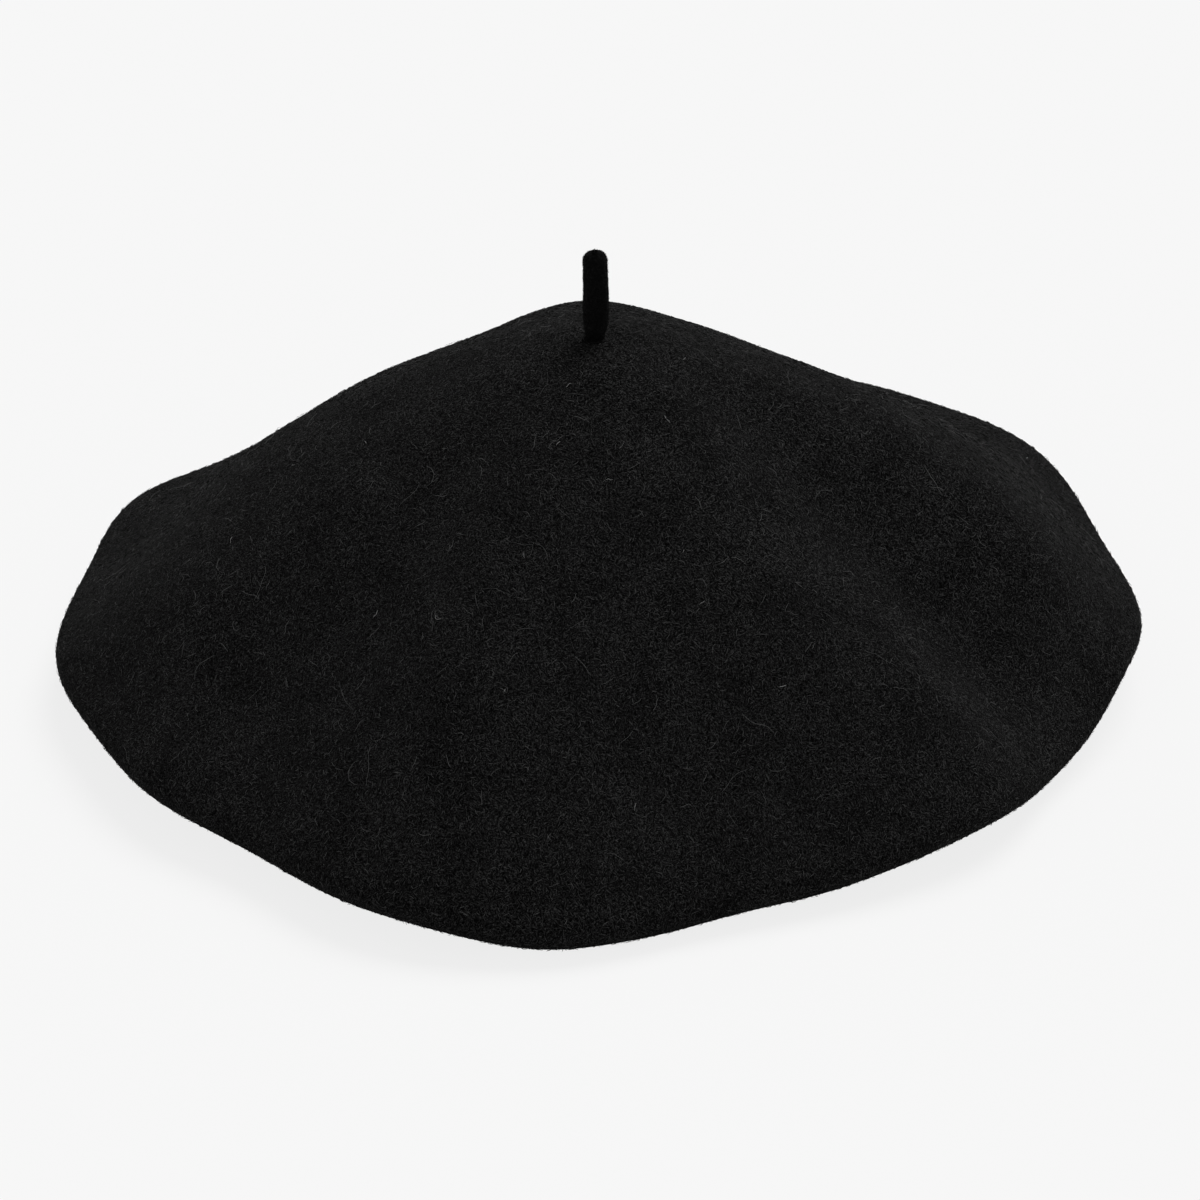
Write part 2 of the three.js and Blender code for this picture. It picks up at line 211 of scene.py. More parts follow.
def under_crown(share, azimuth, depth):
    """The crown's skin sunk by depth along its normal."""
    step = 0.01
    radius, height = crown_skin(share, azimuth)
    r1, z1 = crown_skin(share + step, azimuth)
    r0, z0 = crown_skin(np.maximum(share - step, 0), azimuth)
    return sunk(radius, height, r1 - r0, np.where(share > 0, z1 - z0, 0), depth)


def on_circle(radius, azimuth, height):
    """Points at cylindrical coordinates, azimuth in degrees."""
    a = np.radians(azimuth)
    radius, a, height = np.broadcast_arrays(radius, a, height)
    return np.stack([radius * np.cos(a), radius * np.sin(a), height], -1)


def on_line(x, y, z):
    """Points of which two coordinates may be single values."""
    return np.stack(np.broadcast_arrays(x, y, z), -1).astype(float)


def run_length(line):
    """How far along a line of points each of them is."""
    steps = np.linalg.norm(np.diff(line, axis=0), axis=1)
    return np.concatenate([[0], np.cumsum(steps)])


def arc_length(radius, height):
    """How far along its section each station is, at every azimuth."""
    steps = np.hypot(np.diff(radius, axis=0), np.diff(height, axis=0))
    return np.concatenate([np.zeros_like(steps[:1]), np.cumsum(steps, axis=0)])


def whole_turn(sides):
    """Angles in radians, evenly spaced over one turn."""
    return np.linspace(0, 2 * np.pi, sides, endpoint=False)


# ---- Mesh helpers ----

def put(name, data):
    """A new object in the scene."""
    made = bpy.data.objects.new(name, data)
    bpy.context.scene.collection.objects.link(made)
    return made


def make_object(name, vertices, faces, material):
    """A smooth mesh object in metres from millimetre vertices, its faces turned outwards.

    faces is a list of arrays, each with a row of vertex numbers for every polygon.
    """
    vertices = np.asarray(vertices, float).reshape(-1, 3) * MM
    blocks = [np.atleast_2d(block) for block in faces]
    volume = sum(
        np.einsum("ij,ij->i", vertices[block[:, 0]],
                  np.cross(vertices[block[:, i]], vertices[block[:, i + 1]])).sum()
        for block in blocks for i in range(1, block.shape[1] - 1)
    )
    if volume < 0:
        blocks = [block[:, ::-1] for block in blocks]
    loops = np.concatenate([block.ravel() for block in blocks])
    sides = np.concatenate([np.full(len(block), block.shape[1]) for block in blocks])
    starts = np.concatenate([[0], np.cumsum(sides)[:-1]])
    mesh = bpy.data.meshes.new(name)
    mesh.vertices.add(len(vertices))
    mesh.vertices.foreach_set("co", vertices.ravel())
    mesh.loops.add(len(loops))
    mesh.loops.foreach_set("vertex_index", loops.astype(np.int32))
    mesh.polygons.add(len(starts))
    mesh.polygons.foreach_set("loop_start", starts.astype(np.int32))
    mesh.update(calc_edges=True)
    mesh.validate()
    mesh.polygons.foreach_set("use_smooth", np.full(len(mesh.polygons), True))
    mesh.materials.append(material)
    return put(name, mesh)


def belongs(piece, node=None, body="hat"):
    """Give a piece its body and the CAD node that it replaces."""
    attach(piece, body)
    if node:
        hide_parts(node)


def grid_faces(rows, columns, close_rows=False, close_columns=False):
    """Quads of a grid of rows x columns vertices, numbered row by row."""
    i = np.arange(rows if close_rows else rows - 1)
    j = np.arange(columns if close_columns else columns - 1)
    i, j = np.meshgrid(i, j, indexing="ij")
    i1, j1 = (i + 1) % rows, (j + 1) % columns
    quads = np.stack([i * columns + j, i1 * columns + j, i1 * columns + j1, i * columns + j1], -1)
    return quads.reshape(-1, 4)


def ring_faces(rows, columns):
    """The faces of a grid that closes on itself both ways."""
    return [grid_faces(rows, columns, close_rows=True, close_columns=True)]


def tube_faces(rings, sides):
    """A closed tube: rings of vertices, and a cap at each end."""
    last = (rings - 1) * sides
    return [
        grid_faces(rings, sides, close_columns=True),
        np.arange(sides)[::-1],
        last + np.arange(sides),
    ]


def repeated(faces, count, size):
    """The faces of one shape of size vertices, for count such shapes in a row."""
    faces = np.atleast_2d(faces)
    return (np.arange(count)[:, None, None] * size + faces).reshape(-1, faces.shape[1])


def add_uv(made, u, v):
    """A UV map in metres, from lengths in millimetres that broadcast to one pair per vertex."""
    uv = np.stack(np.broadcast_arrays(u, v), -1).reshape(-1, 2) * MM
    layer = made.data.uv_layers.new(name="cloth")
    index = np.empty(len(made.data.loops), np.int32)
    made.data.loops.foreach_get("vertex_index", index)
    layer.data.foreach_set("uv", uv[index].ravel())


def square_to(line, axis):
    """Two unit directions square to a line and to each other, at each of its points."""
    along = np.gradient(line, axis=axis)
    along /= np.maximum(np.linalg.norm(along, axis=-1, keepdims=True), 1e-9)
    helper = np.where(np.abs(along[..., 2:]) < 0.9, [0, 0, 1.0], [1.0, 0, 0])
    side = np.cross(helper, along)
    side /= np.linalg.norm(side, axis=-1, keepdims=True)
    return side, np.cross(along, side)


def strip_round(name, node, section, azimuth, material, waver):
    """A strip laid round the hat: its section is a closed line of (radius, height) points.

    waver(azimuth, height) returns what to add to the radius and to the height everywhere.
    """
    radius, height = np.asarray(section, float).T
    more_radius, more_height = waver(azimuth[:, None], height)
    vertices = on_circle(radius + more_radius, azimuth[:, None], height + more_height)
    made = make_object(name, vertices, tube_faces(len(azimuth), len(radius)), material)
    add_uv(made, np.radians(azimuth[:, None]) * radius.mean(), arc_length(radius, height))
    belongs(made, node)


def rounded_section(low, high, corner, steps, spacing):
    """A closed rectangle in (radius, height) with round corners and points along its sides."""
    (r0, z0), (r1, z1) = low, high
    corners = [(r1 - corner, z0 + corner, -90), (r1 - corner, z1 - corner, 0),
               (r0 + corner, z1 - corner, 90), (r0 + corner, z0 + corner, 180)]
    points = []
    for r, z, first in corners:
        for i in range(steps + 1):
            turn = math.radians(first + 90 * i / steps)
            points.append((r + corner * math.cos(turn), z + corner * math.sin(turn)))
    dense = []
    for a, b in zip(points, points[1:] + points[:1]):
        parts = max(1, round(math.dist(a, b) / spacing))
        dense += [(a[0] + (b[0] - a[0]) * k / parts, a[1] + (b[1] - a[1]) * k / parts)
                  for k in range(parts)]
    return dense


def tube_along(name, path, radius, sides, material, squash=1.0):
    """A round or flattened tube along a path."""
    side, other = square_to(path, 0)
    turn = whole_turn(sides)
    ring = side[:, None] * np.cos(turn)[:, None] * squash + other[:, None] * np.sin(turn)[:, None]
    made = make_object(name, path[:, None] + ring * radius, tube_faces(len(path), sides), material)
    add_uv(made, run_length(path)[:, None], turn * radius)
    return made


# ---- Felt shell ----

def felt_skin(azimuth):
    """The felt's outer skin, as arrays of radius and height: stations x azimuths."""
    azimuth = azimuth[None, :]
    crown_steps, roll_steps, under_steps, flat_steps = 120, 14, 14, 3
    first = STEM_HOLE / CROWN_REACH
    share = first + (1 - first) * np.linspace(0, 1, crown_steps + 1)[:, None]
    radius, height = dimpled_skin(share, azimuth)
    turn = ROLL_START + (np.pi - ROLL_START) * np.arange(1, roll_steps + 1)[:, None] / roll_steps
    roll_r = around_the_rim(1, azimuth) - ROLL_RADIUS + ROLL_RADIUS * np.sin(turn)
    roll_z = around_the_rim(2, azimuth) + ROLL_RADIUS * np.cos(turn)
    s = np.arange(1, under_steps + 1)[:, None] / under_steps
    under_r = roll_r[-1] + (OPENING_RADIUS + REST_WIDTH - roll_r[-1]) * s
    under_z = roll_z[-1] * (1 - s) ** UNDER_CURVE
    s = np.arange(1, flat_steps + 1)[:, None] / flat_steps
    flat_r = OPENING_RADIUS + REST_WIDTH * (1 - s) + 0 * azimuth
    flat_z = 0 * flat_r
    return (np.concatenate([radius, roll_r, under_r, flat_r]),
            np.concatenate([height, roll_z, under_z, flat_z]))


def soft_noise(azimuth, share, waves, seed):
    """Low, wide unevenness of the felt: a few plane waves over the crown seen from above."""
    random = np.random.default_rng(seed)
    a = np.radians(azimuth)
    x, y = share * np.cos(a), share * np.sin(a)
    total = 0
    for _ in range(waves):
        direction = random.uniform(0, 2 * np.pi)
        length = random.uniform(0.16, 0.5)
        phase = random.uniform(0, 2 * np.pi)
        along = x * np.cos(direction) + y * np.sin(direction)
        total = total + np.sin(2 * np.pi * along / length + phase)
    return total / math.sqrt(waves)


def felt_shell(material):
    """The whole felt body as one closed shell; returns the points of its outer skin."""
    azimuth = np.arange(AROUND) * 360 / AROUND
    outer_r, outer_z = felt_skin(azimuth)
    run, rise = np.gradient(outer_r, axis=0), np.gradient(outer_z, axis=0)
    inner_r, inner_z = sunk(outer_r, outer_z, run, rise, FELT)
    inner_r[0] = STEM_HOLE
    inner_z[0] = outer_z[0] - FELT
    arc = arc_length(outer_r, outer_z)
    uneven = soft_noise(azimuth[None, :], arc / arc.max(), 9, 3)
    fade = np.clip(arc / 25, 0, 1) * np.clip((arc[-1:] - arc) / 25, 0, 1)
    outer_z = outer_z + 0.25 * uneven * fade
    keep = np.unique(np.linspace(0, len(inner_r) - 1, INNER_ROWS).astype(int))[::-1]
    points = on_circle(np.concatenate([outer_r, inner_r[keep]]), azimuth,
                       np.concatenate([outer_z, inner_z[keep]]))
    shell = make_object("felt_shell", points, ring_faces(len(points), AROUND), material)
    span = np.concatenate([arc, 2 * arc.max() + arc[keep]])
    a = np.radians(azimuth)
    add_uv(shell, span * np.cos(a), span * np.sin(a))
    belongs(shell, "felt_body")
    return points[:len(outer_r)]


# ---- Fibres ----

def fibre_mesh(name, paths, radii, material):
    """Closed three-sided fibres. paths is fibres x points x 3; radii is fibres x points."""
    count, steps, _ = paths.shape
    side, other = square_to(paths, 1)
    turns = np.radians([0, 120, 240])
    ring = side[:, :, None] * np.cos(turns)[:, None] + other[:, :, None] * np.sin(turns)[:, None]
    ring = paths[:, :, None] - ring * radii[:, :, None, None]
    tip = ring[:, -1].mean(axis=1)[:, None]
    vertices = np.concatenate([ring[:, :-1].reshape(count, -1, 3), tip], axis=1)
    per = vertices.shape[1]
    triangles = [(0, 1, 2)]
    for i in range(steps - 2):
        for j in range(3):
            a, b = 3 * i + j, 3 * i + (j + 1) % 3
            triangles += [(a, a + 3, b + 3), (a, b + 3, b)]
    last = 3 * (steps - 2)
    triangles += [(last + j, per - 1, last + (j + 1) % 3) for j in range(3)]
    return make_object(name, vertices, [repeated(triangles, count, per)], material)


def scattered(skin, count, random):
    """Random points on a skin, with its normal there and a random direction along it."""
    du = (np.roll(skin, -1, axis=1) - skin)[:-1]
    dv = skin[1:] - skin[:-1]
    normal = np.cross(dv, du)
    area = np.linalg.norm(normal, axis=2)
    pick = random.choice(area.size, count, p=(area / area.sum()).ravel())
    i, j = np.unravel_index(pick, area.shape)
    u, v = random.random((2, count, 1))
    point = skin[i, j] + du[i, j] * u + dv[i, j] * v
    normal = normal[i, j] / area[i, j][:, None]
    tangent = du[i, j] / np.linalg.norm(du[i, j], axis=1, keepdims=True)
    heading = random.uniform(0, 2 * np.pi, (count, 1))
    flat = tangent * np.cos(heading) + np.cross(normal, tangent) * np.sin(heading)
    return point, normal, flat


def nap(name, skin, count, material, seed):
    """Short wool ends that lie on the felt in every direction."""
    random = np.random.default_rng(seed)
    point, normal, flat = scattered(skin, count, random)
    bend = np.cross(normal, flat) * random.normal(0, 0.75, (count, 1))
    length = random.uniform(0.5, 1.5, (count, 1))
    rise = normal * random.uniform(0.02, 0.16, (count, 1))
    start = point - normal * 0.04
    first = point + (flat * 0.33 + rise * 0.8 + bend * 0.06) * length
    second = point + (flat * 0.66 + rise * 1.1 + bend * 0.28) * length
    end = point + (flat * 0.94 + rise * random.uniform(0.2, 1.5, (count, 1)) + bend * 0.62) * length
    radii = random.uniform(0.032, 0.072, (count, 1)) * np.array([[0.9, 1.0, 0.8, 0.2]])
    made = fibre_mesh(name, np.stack([start, first, second, end], axis=1), radii, material)
    belongs(made)


def crown_frame(share, azimuth):
    """Point, outward step, sideways step and normal of the crown, per unit of share and degree."""
    def point(share, azimuth):
        radius, height = dimpled_skin(share, azimuth)
        return on_circle(radius, azimuth, height)

    outward = (point(share + 0.004, azimuth) - point(share - 0.004, azimuth)) / 0.008
    sideways = point(share, azimuth + 0.5) - point(share, azimuth - 0.5)
    normal = np.cross(outward, sideways)
    normal = normal / np.linalg.norm(normal, axis=-1, keepdims=True)
    return point(share, azimuth), outward, sideways, normal


def stray_hairs(name, count, length, material, seed, curl, radius):
    """Long loose wool hairs that wander over the crown, touching down now and then."""
    random = np.random.default_rng(seed)
    share = np.sqrt(random.uniform(0.01, 0.93, count))
    azimuth = random.uniform(0, 360, count)
    heading = random.uniform(0, 2 * np.pi, count)
    turning = random.normal(0, curl, count)
    steps = 12
    step = random.uniform(*length, count) / (steps - 1)
    phase = random.uniform(0, 2 * np.pi, count)
    tall = random.uniform(0.08, 0.35, count)
    paths = []
    for i in range(steps):
        point, outward, sideways, normal = crown_frame(share, azimuth)
        wave = 0.5 - 0.5 * np.cos(phase + i * 0.75)
        arch = 0.05 + tall * wave * np.sin(np.pi * (i + 0.4) / steps)
        paths.append(point + normal * arch[:, None])
        share = share + np.cos(heading) * step / np.linalg.norm(outward, axis=1)
        share = np.clip(share, 0.03, 0.985)
        azimuth = azimuth + np.sin(heading) * step / np.linalg.norm(sideways, axis=1)
        heading = heading + turning * step + random.normal(0, 0.18, count)
    thick = random.uniform(*radius, (count, 1))
    taper = np.sin(np.pi * np.linspace(0.12, 0.98, steps)) ** 0.4
    made = fibre_mesh(name, np.stack(paths, axis=1), thick * taper, material)
    belongs(made)


# ---- Materials ----

class Nodes:
    """A short way to add shader nodes and join them."""

    def __init__(self, name):
        self.material = bpy.data.materials.new(name)
        self.material.use_nodes = True
        self.tree = self.material.node_tree
        self.shader = self.tree.nodes["Principled BSDF"]

    def add(self, kind, links=None, **settings):
        node = self.tree.nodes.new(kind)
        for key, value in settings.items():
            setattr(node, key, value)
        for socket, source in (links or {}).items():
            self.set(node, socket, source)
        return node

    def set(self, node, socket, source):
        if isinstance(source, bpy.types.NodeSocket):
            self.tree.links.new(source, node.inputs[socket])
        else:
            node.inputs[socket].default_value = source

    def surface(self, colour, roughness, gloss=0.5, sheen=(0.0, 0.5)):
        """Set the shader; sheen is its weight and its roughness."""
        self.set(self.shader, "Base Color", colour)
        self.set(self.shader, "Roughness", roughness)
        self.set(self.shader, "Specular IOR Level", gloss)
        self.set(self.shader, "Sheen Weight", sheen[0])
        self.set(self.shader, "Sheen Roughness", sheen[1])

    def math(self, operation, *values):
        return self.add("ShaderNodeMath", dict(enumerate(values)), operation=operation).outputs[0]

    def vector(self, operation, links):
        return self.add("ShaderNodeVectorMath", links, operation=operation).outputs[0]

    def remap(self, value, low, high, to_low=0.0, to_high=1.0):
        links = {"Value": value, 1: low, 2: high, 3: to_low, 4: to_high}
        return self.add("ShaderNodeMapRange", links).outputs[0]

    def mix(self, factor, a, b):
        return self.add("ShaderNodeMix", {0: factor, 6: a, 7: b}, data_type="RGBA").outputs[2]

    def bump(self, height, strength, distance):
        links = {"Height": height, "Strength": strength, "Distance": distance * MM}
        self.set(self.shader, "Normal", self.add("ShaderNodeBump", links).outputs[0])

    def cloth(self):
        """Where a point lies on the flat cloth, in metres."""
        return self.add("ShaderNodeUVMap", uv_map="cloth").outputs[0]

    def noise(self, where, size, detail=3.0):
        links = {"Vector": where, "Scale": 1 / (size * MM), "Detail": detail}
        return self.add("ShaderNodeTexNoise", links, noise_dimensions="2D")

    def cloud(self, where, size, low, high, detail=3.0):
        """Soft patches of a size, remapped to run from low to high."""
        return self.remap(self.noise(where, size, detail).outputs["Fac"], 0.3, 0.7, low, high)

    def ribs(self, where, direction, spacing):
        """Fine parallel ribs from 0 to 1, spaced evenly along a direction of the cloth."""
        split = self.add("ShaderNodeSeparateXYZ", {"Vector": where})
        x = self.math("MULTIPLY", split.outputs[0], direction[0])
        y = self.math("MULTIPLY", split.outputs[1], direction[1])
        turns = self.math("MULTIPLY", self.math("ADD", x, y), 2 * math.pi / (spacing * MM))
        return self.math("MULTIPLY_ADD", self.math("SINE", turns), 0.5, 0.5)

    def streaks(self, where, cell, across, along, offset):
        """Short streaks, each patch of them turned its own way, from 0 to 1."""
        shifted = self.vector("ADD", {0: where, 1: (offset, offset * 0.7, 0)})
        links = {"Vector": shifted, "Scale": 1 / (cell * MM)}
        patches = self.add("ShaderNodeTexVoronoi", links, voronoi_dimensions="2D")
        split = self.add("ShaderNodeSeparateColor", {"Color": patches.outputs["Color"]})
        angle = self.math("MULTIPLY", split.outputs[0], 2 * math.pi)
        links = {"Vector": shifted, "Angle": angle}
        turned = self.add("ShaderNodeVectorRotate", links, rotation_type="Z_AXIS").outputs[0]
        stretched = self.vector("MULTIPLY", {0: turned, 1: (1 / (across * MM), 1 / (along * MM), 1.0)})
        links = {"Vector": stretched, "Scale": 1.0, "Detail": 1.0, "Roughness": 0.6}
        noise = self.add("ShaderNodeTexNoise", links, noise_dimensions="2D")
        return self.remap(noise.outputs["Fac"], 0.32, 0.68)


def tone(value, warmth=0.0):
    return (value * (1 + warmth), value, value * (1 - warmth), 1.0)


def felt_material(name, dark, light, sheen):
    """Fulled wool: two sizes of fibre streaks, lighter and darker in soft patches."""
    nodes = Nodes(name)
    where = nodes.cloth()
    coarse = nodes.math("MULTIPLY", nodes.streaks(where, 1.4, 0.30, 1.2, 0.0), 0.45)
    fine = nodes.math("MULTIPLY", nodes.streaks(where, 0.9, 0.20, 0.7, 0.31), 0.55)
    streaks = nodes.math("ADD", coarse, fine)
    shade = nodes.math("MULTIPLY", nodes.math("POWER", streaks, 2.7), nodes.cloud(where, 14, 0.8, 1.2))
    nodes.surface(nodes.mix(shade, tone(dark), tone(light)), 1.0, 0.02, sheen=(sheen, 0.25))
    nodes.bump(streaks, 0.8, 0.25)
    return nodes.material


def fibre_material(name, value, gloss=0.03):
    nodes = Nodes(name)
    nodes.surface(tone(value), 0.9, gloss)
    return nodes.material


def satin_material(name, value):
    """Satin: long floats painted lighter as a painted highlight, a faint slub, and soft wrinkles."""
    nodes = Nodes(name)
    where = nodes.cloth()
    floats = nodes.math("MULTIPLY", nodes.ribs(where, (1, 0.12), 0.16), nodes.ribs(where, (0.3, 1), 0.7))
    slub = nodes.noise(where, 6, 4.0).outputs["Fac"]
    # painted highlight: the floats lighten the satin's colour
    shade = nodes.math("MULTIPLY_ADD", floats, 0.22, 0.35)
    shade = nodes.math("ADD", shade, nodes.math("MULTIPLY", slub, 0.5))
    roughness = nodes.remap(slub, 0.3, 0.7, 0.30, 0.44)
    nodes.surface(nodes.mix(shade, tone(value * 0.6), tone(value * 1.5)), roughness, 0.6, (0.15, 0.35))
    nodes.bump(nodes.math("ADD", nodes.math("MULTIPLY", floats, 0.05), slub), 0.5, 0.25)
    return nodes.material


def ribbed_material(name, value, direction, spacing, roughness):
    """Grosgrain or twill: even ribs, each painted lighter on its crest and darker in its groove, a
    painted highlight and painted shade.
    """
    nodes = Nodes(name)
    where = nodes.cloth()
    rib = nodes.math("MULTIPLY", nodes.ribs(where, direction, spacing), 0.75)
    cross = nodes.ribs(where, (-direction[1], direction[0]), spacing * 0.6)
    height = nodes.math("ADD", rib, nodes.math("MULTIPLY", cross, 0.25))
    # painted highlight and shade: the colour follows the ribs' height, lighter on crests, darker in
    # grooves
    shade = nodes.math("MULTIPLY", height, nodes.cloud(where, 5, 0.7, 1.1))
    nodes.surface(nodes.mix(shade, tone(value * 0.45), tone(value * 1.6)), roughness, 0.35, (0.12, 0.4))
    nodes.bump(height, 0.7, 0.12)
    return nodes.material


def leather_material(name):
    """Thin grain leather: small cells, finer pores, and a polish where the head rubs."""
    nodes = Nodes(name)
    where = nodes.cloth()
    drift = nodes.vector("SCALE", {0: nodes.noise(where, 1.1, 2.0).outputs["Color"], "Scale": 0.7 * MM})
    moved = nodes.vector("ADD", {0: where, 1: drift})
    links = {"Vector": moved, "Scale": 1 / (0.62 * MM), "Smoothness": 0.55}
    cells = nodes.add("ShaderNodeTexVoronoi", links, voronoi_dimensions="2D", feature="SMOOTH_F1")
    grain = nodes.remap(cells.outputs["Distance"], 0.15, 0.75, 1.0, 0.0)
    pores = nodes.math("MULTIPLY", nodes.noise(where, 0.3, 2.0).outputs["Fac"], 0.35)
    shade = nodes.math("MULTIPLY", nodes.remap(grain, 0, 1, 0.45, 1.0), nodes.cloud(where, 18, 0.6, 1.1))
    roughness = nodes.cloud(where, 18, 0.36, 0.55)
    nodes.surface(nodes.mix(shade, tone(0.006, 0.2), tone(0.022, 0.22)), roughness)
    nodes.bump(nodes.math("ADD", grain, pores), 0.4, 0.1)
    return nodes.material


def thread_material(name, value):
    """Twisted thread: slanted plies."""
    nodes = Nodes(name)
    ply = nodes.ribs(nodes.cloth(), (1, 1), 0.5)
    nodes.surface(nodes.mix(ply, tone(value * 0.5), tone(value * 1.5)), 0.6, sheen=(0.2, 0.4))
    nodes.bump(ply, 0.8, 0.08)
    return nodes.material


def label_material(name, value, spacing):
    """A woven label: damask ground of fine crossing threads."""
    nodes = Nodes(name)
    where = nodes.cloth()
    warp, weft = nodes.ribs(where, (1, 0), spacing), nodes.ribs(where, (0, 1), spacing * 1.3)
    weave = nodes.math("MULTIPLY", warp, weft)
    shade = nodes.math("MULTIPLY_ADD", weave, 0.5, 0.3)
    shade = nodes.math("MULTIPLY", shade, nodes.cloud(where, 8, 0.85, 1.1))
    colour = nodes.mix(shade, tone(value * 0.7, 0.05), tone(value * 1.1, 0.04))
    nodes.surface(colour, nodes.remap(weave, 0, 1, 0.6, 0.45), 0.4, (0.1, 0.4))
    nodes.bump(weave, 0.6, 0.08)
    return nodes.material


# ---- Stem ----

def bend_with_stem(piece):
    """Bakes the piece's placement into its mesh."""
    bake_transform(piece)


def stem_piece(material):
    """The felted stalk: it narrows into the crown at its foot, and ends in a blunt round tip."""
    rings, sides = 64, 48
    length = STEM_TOP - STEM_FOOT
    s = np.linspace(0, 1, rings)[:, None]
    turn = whole_turn(sides)
    height = STEM_FOOT - 0.9 + (length + 0.9) * s
    above = height - STEM_FOOT
    radius = 2.85 - 0.25 * np.clip(above / length, 0, 1) - np.exp(-(above / 3.0) ** 2)
    corner = 2.1
    inside = np.clip((height - (STEM_TOP - corner)) / corner, 0, 1)
    radius = radius - corner * (1 - np.sqrt(1 - np.minimum(inside, 0.9999) ** 2))
    radius = radius * (1 + 0.02 * np.sin(3 * turn + 5 * s))
    lean = 0.12 * np.sin(np.pi * s) - 0.1
    points = np.stack([radius * np.cos(turn) + lean, radius * np.sin(turn), height + 0 * turn], -1)
    stem = make_object("stem_felt", points, tube_faces(rings, sides), material)
    add_uv(stem, turn * 2.8, height)
    bend_with_stem(stem)
    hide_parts("stem")
    return points


def stem_nap(points, material, seed):
    """Felted ends on the stem; the lowest ones are longer and reach over the join."""
    random = np.random.default_rng(seed)
    one_each = (STEM_ENDS, 1)
    point, normal, flat = scattered(points[:2:-1], STEM_ENDS, random)
    low = np.exp(-(np.clip(point[:, 2:] - STEM_FOOT, 0, None) / 1.6))
    length = random.uniform(0.3, 1.1, one_each) * (1 + 0.6 * low)
    lift = random.uniform(0.02, 0.22, one_each) + low * random.uniform(0, 0.35, one_each)
    bend = np.cross(normal, flat) * random.normal(0, 0.3, one_each)
    start = point - normal * 0.05
    middle = point + (flat * 0.5 + normal * lift + bend * 0.2) * length
    end = point + (flat * 0.9 + normal * (lift * 0.9 - 0.12) + bend * 0.7) * length
    radii = random.uniform(0.02, 0.05, one_each) * np.array([[1.0, 0.8, 0.2]])
    made = fibre_mesh("stem_nap", np.stack([start, middle, end], axis=1), radii, material)
    bend_with_stem(made)


def root_knot(material):
    """The stem's yarn below the crown: a shank and a flattened overhand knot of wool."""
    low, high = node_box("stem_root")
    turn = np.linspace(0, 1, 150)
    wind = 2 * np.pi * 2.6 * turn
    coil = 2.35 + 0.35 * np.cos(wind * 1.5)
    shrink = 0.35 + 0.65 * turn
    height = low[2] + 0.62 + 0.05 * np.sin(wind * 1.5)
    path = np.column_stack([coil * np.cos(wind) * shrink, coil * np.sin(wind) * shrink, height])
    knot = tube_along("stem_root_knot", path, 0.56, 12, material, squash=1.15)
    belongs(knot, "stem_root")
    s = np.linspace(low[2] + 0.25, high[2] - 0.05, 12)
    shank = tube_along("stem_root_shank", on_line(0, 0, s), 1.25, 16, material)
    belongs(shank)


# ---- Head opening ----

def sweatband_piece(material):
    """A leather strip on edge, butted at the back, with a slight roll to its lower edge."""
    section = rounded_section((BAND_INNER, BAND_LOW[2]), (BAND_HIGH[0], BAND_HIGH[2]), 0.5, 4, 1.2)

    def waver(azimuth, height):
        a = np.radians(azimuth)
        lift = (height - BAND_LOW[2]) / (BAND_HIGH[2] - BAND_LOW[2])
        inward = -0.14 * (1 + np.sin(a * 11 + 1.3 * np.sin(a * 5)))
        return inward * lift * (1 - lift) * 4 * 0.6, 0.12 * np.sin(a * 17) * lift - 0.12 * lift

    strip_round("sweatband_leather", "sweatband", section, BACK_ROUND, material, waver)


def tape_piece(material):
    """Twill tape on edge between the band and the felt, a little wavy."""
    low, high = (TAPE_HIGH[0] - 0.85, TAPE_LOW[2]), (TAPE_HIGH[0] - 0.1, TAPE_HIGH[2])

    def waver(azimuth, height):
        a = np.radians(azimuth)
        return 0.05 * np.sin(a * 23 + 2.1 * np.sin(a * 3)), 0

    strip_round("stay_tape_twill", "stay_tape", rounded_section(low, high, 0.3, 3, 1.0), BACK_ROUND,
                material, waver)


def band_stitches(material):
    """Single stitches round the band's lower edge: each dives into the leather at both ends."""
    low, high = node_box("sweatband_stitching")
    sides, steps = 6, 9
    t = np.linspace(0, 1, steps)
    ends = np.abs(2 * t - 1)
    turn = whole_turn(sides)
    first = np.arange(BAND_STITCHES)[:, None] + 0.08
    azimuth = JOIN + 360 / BAND_STITCHES * (first + 0.84 * t)
    uneven = np.random.default_rng(7).normal(0, 0.03, (BAND_STITCHES, 1))
    height = (low[2] + high[2]) / 2 + 0.1 * (2 * t - 1) + uneven
    centre = on_circle(high[0] - 0.3 + 0.55 * ends**3, azimuth, height)
    thick = 0.26 - 0.05 * ends**2
    out = on_circle(1.0, azimuth, 0.0)
    ring = out[:, :, None] * np.cos(turn)[:, None] + np.array([0, 0, 1.0]) * np.sin(turn)[:, None]
    faces = [repeated(part, BAND_STITCHES, steps * sides) for part in tube_faces(steps, sides)]
    made = make_object("band_stitches", centre[:, :, None] + ring * thick[:, None, None], faces, material)
    along = np.broadcast_to((t * 2.7)[:, None], (BAND_STITCHES, steps, sides))
    add_uv(made, along, turn * 0.26)
    belongs(made, "sweatband_stitching")


# ---- Lining ----

